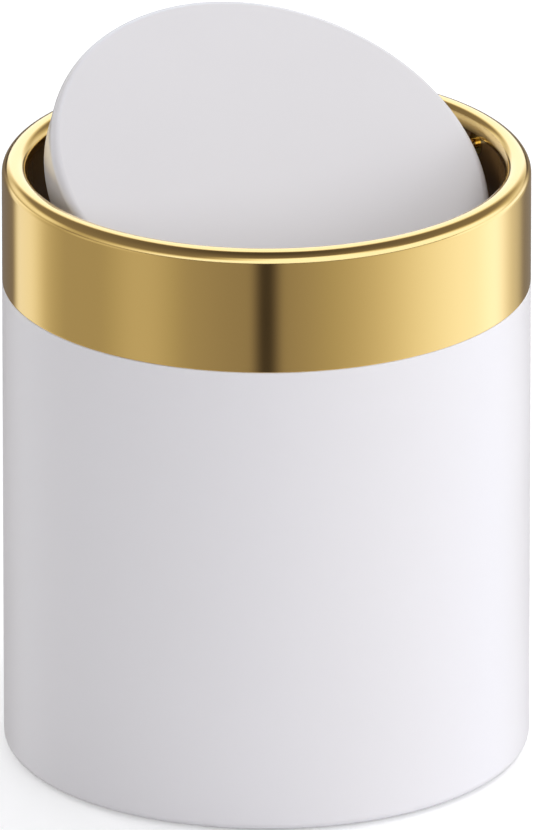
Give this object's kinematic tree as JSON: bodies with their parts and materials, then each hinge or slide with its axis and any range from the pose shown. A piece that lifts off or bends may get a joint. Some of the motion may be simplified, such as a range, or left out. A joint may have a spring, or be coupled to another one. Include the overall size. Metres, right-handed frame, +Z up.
{
  "type": "countertop trash can",
  "caption": "Round countertop bin: straight can, lift-off collar with a half-round rim, and a swing lid on a pivot through the middle.",
  "frame": {"origin": "centre of the circle on which the can stands", "axes": "+Z up along the can; X along the lid's pivot; at rest the lid leans towards -Y"},
  "size_m": [0.12, 0.12, 0.1643],
  "materials": {
    "white_steel": "satin",
    "bare_steel": "satin",
    "gold_steel": "polished",
    "bush_brass": "polished",
    "brown_plastic": "gloss",
    "white_plastic": "satin",
    "grey_plastic": "matt",
    "black_plastic": "matt",
    "black_rubber": "matt",
    "acetal": "satin",
    "spring_steel": "satin"
  },
  "bodies": {
    "can": {"can_wall": "white_steel", "can_floor": "bare_steel", "base_plate": "black_plastic", "foot_pad_1": "black_rubber", "foot_pad_2": "black_rubber", "foot_pad_3": "black_rubber", "foot_pad_4": "black_rubber"},
    "collar": {"collar_band": "gold_steel", "collar_carrier": "brown_plastic", "pivot_bush_left": "bush_brass", "pivot_bush_right": "bush_brass", "friction_washer_left": "spring_steel", "friction_washer_right": "spring_steel"},
    "lid": {"lid_face": "white_plastic", "lid_back": "grey_plastic", "lid_screws": "bare_steel", "pin_block_left": "acetal", "pin_block_right": "acetal", "pivot_pin_left": "gold_steel", "pivot_pin_right": "gold_steel", "pin_clip_left": "spring_steel", "pin_clip_right": "spring_steel"}
  },
  "joints": [
    {"name": "collar_lift", "type": "slide", "parent": "can", "child": "collar", "axis": [0, 0, 1], "range_m": [0, 0.06]},
    {"name": "lid_swing", "type": "hinge", "parent": "collar", "child": "lid", "pos_m": [0, 0, 0.1344], "axis": [1, 0, 0], "continuous": true}
  ]
}
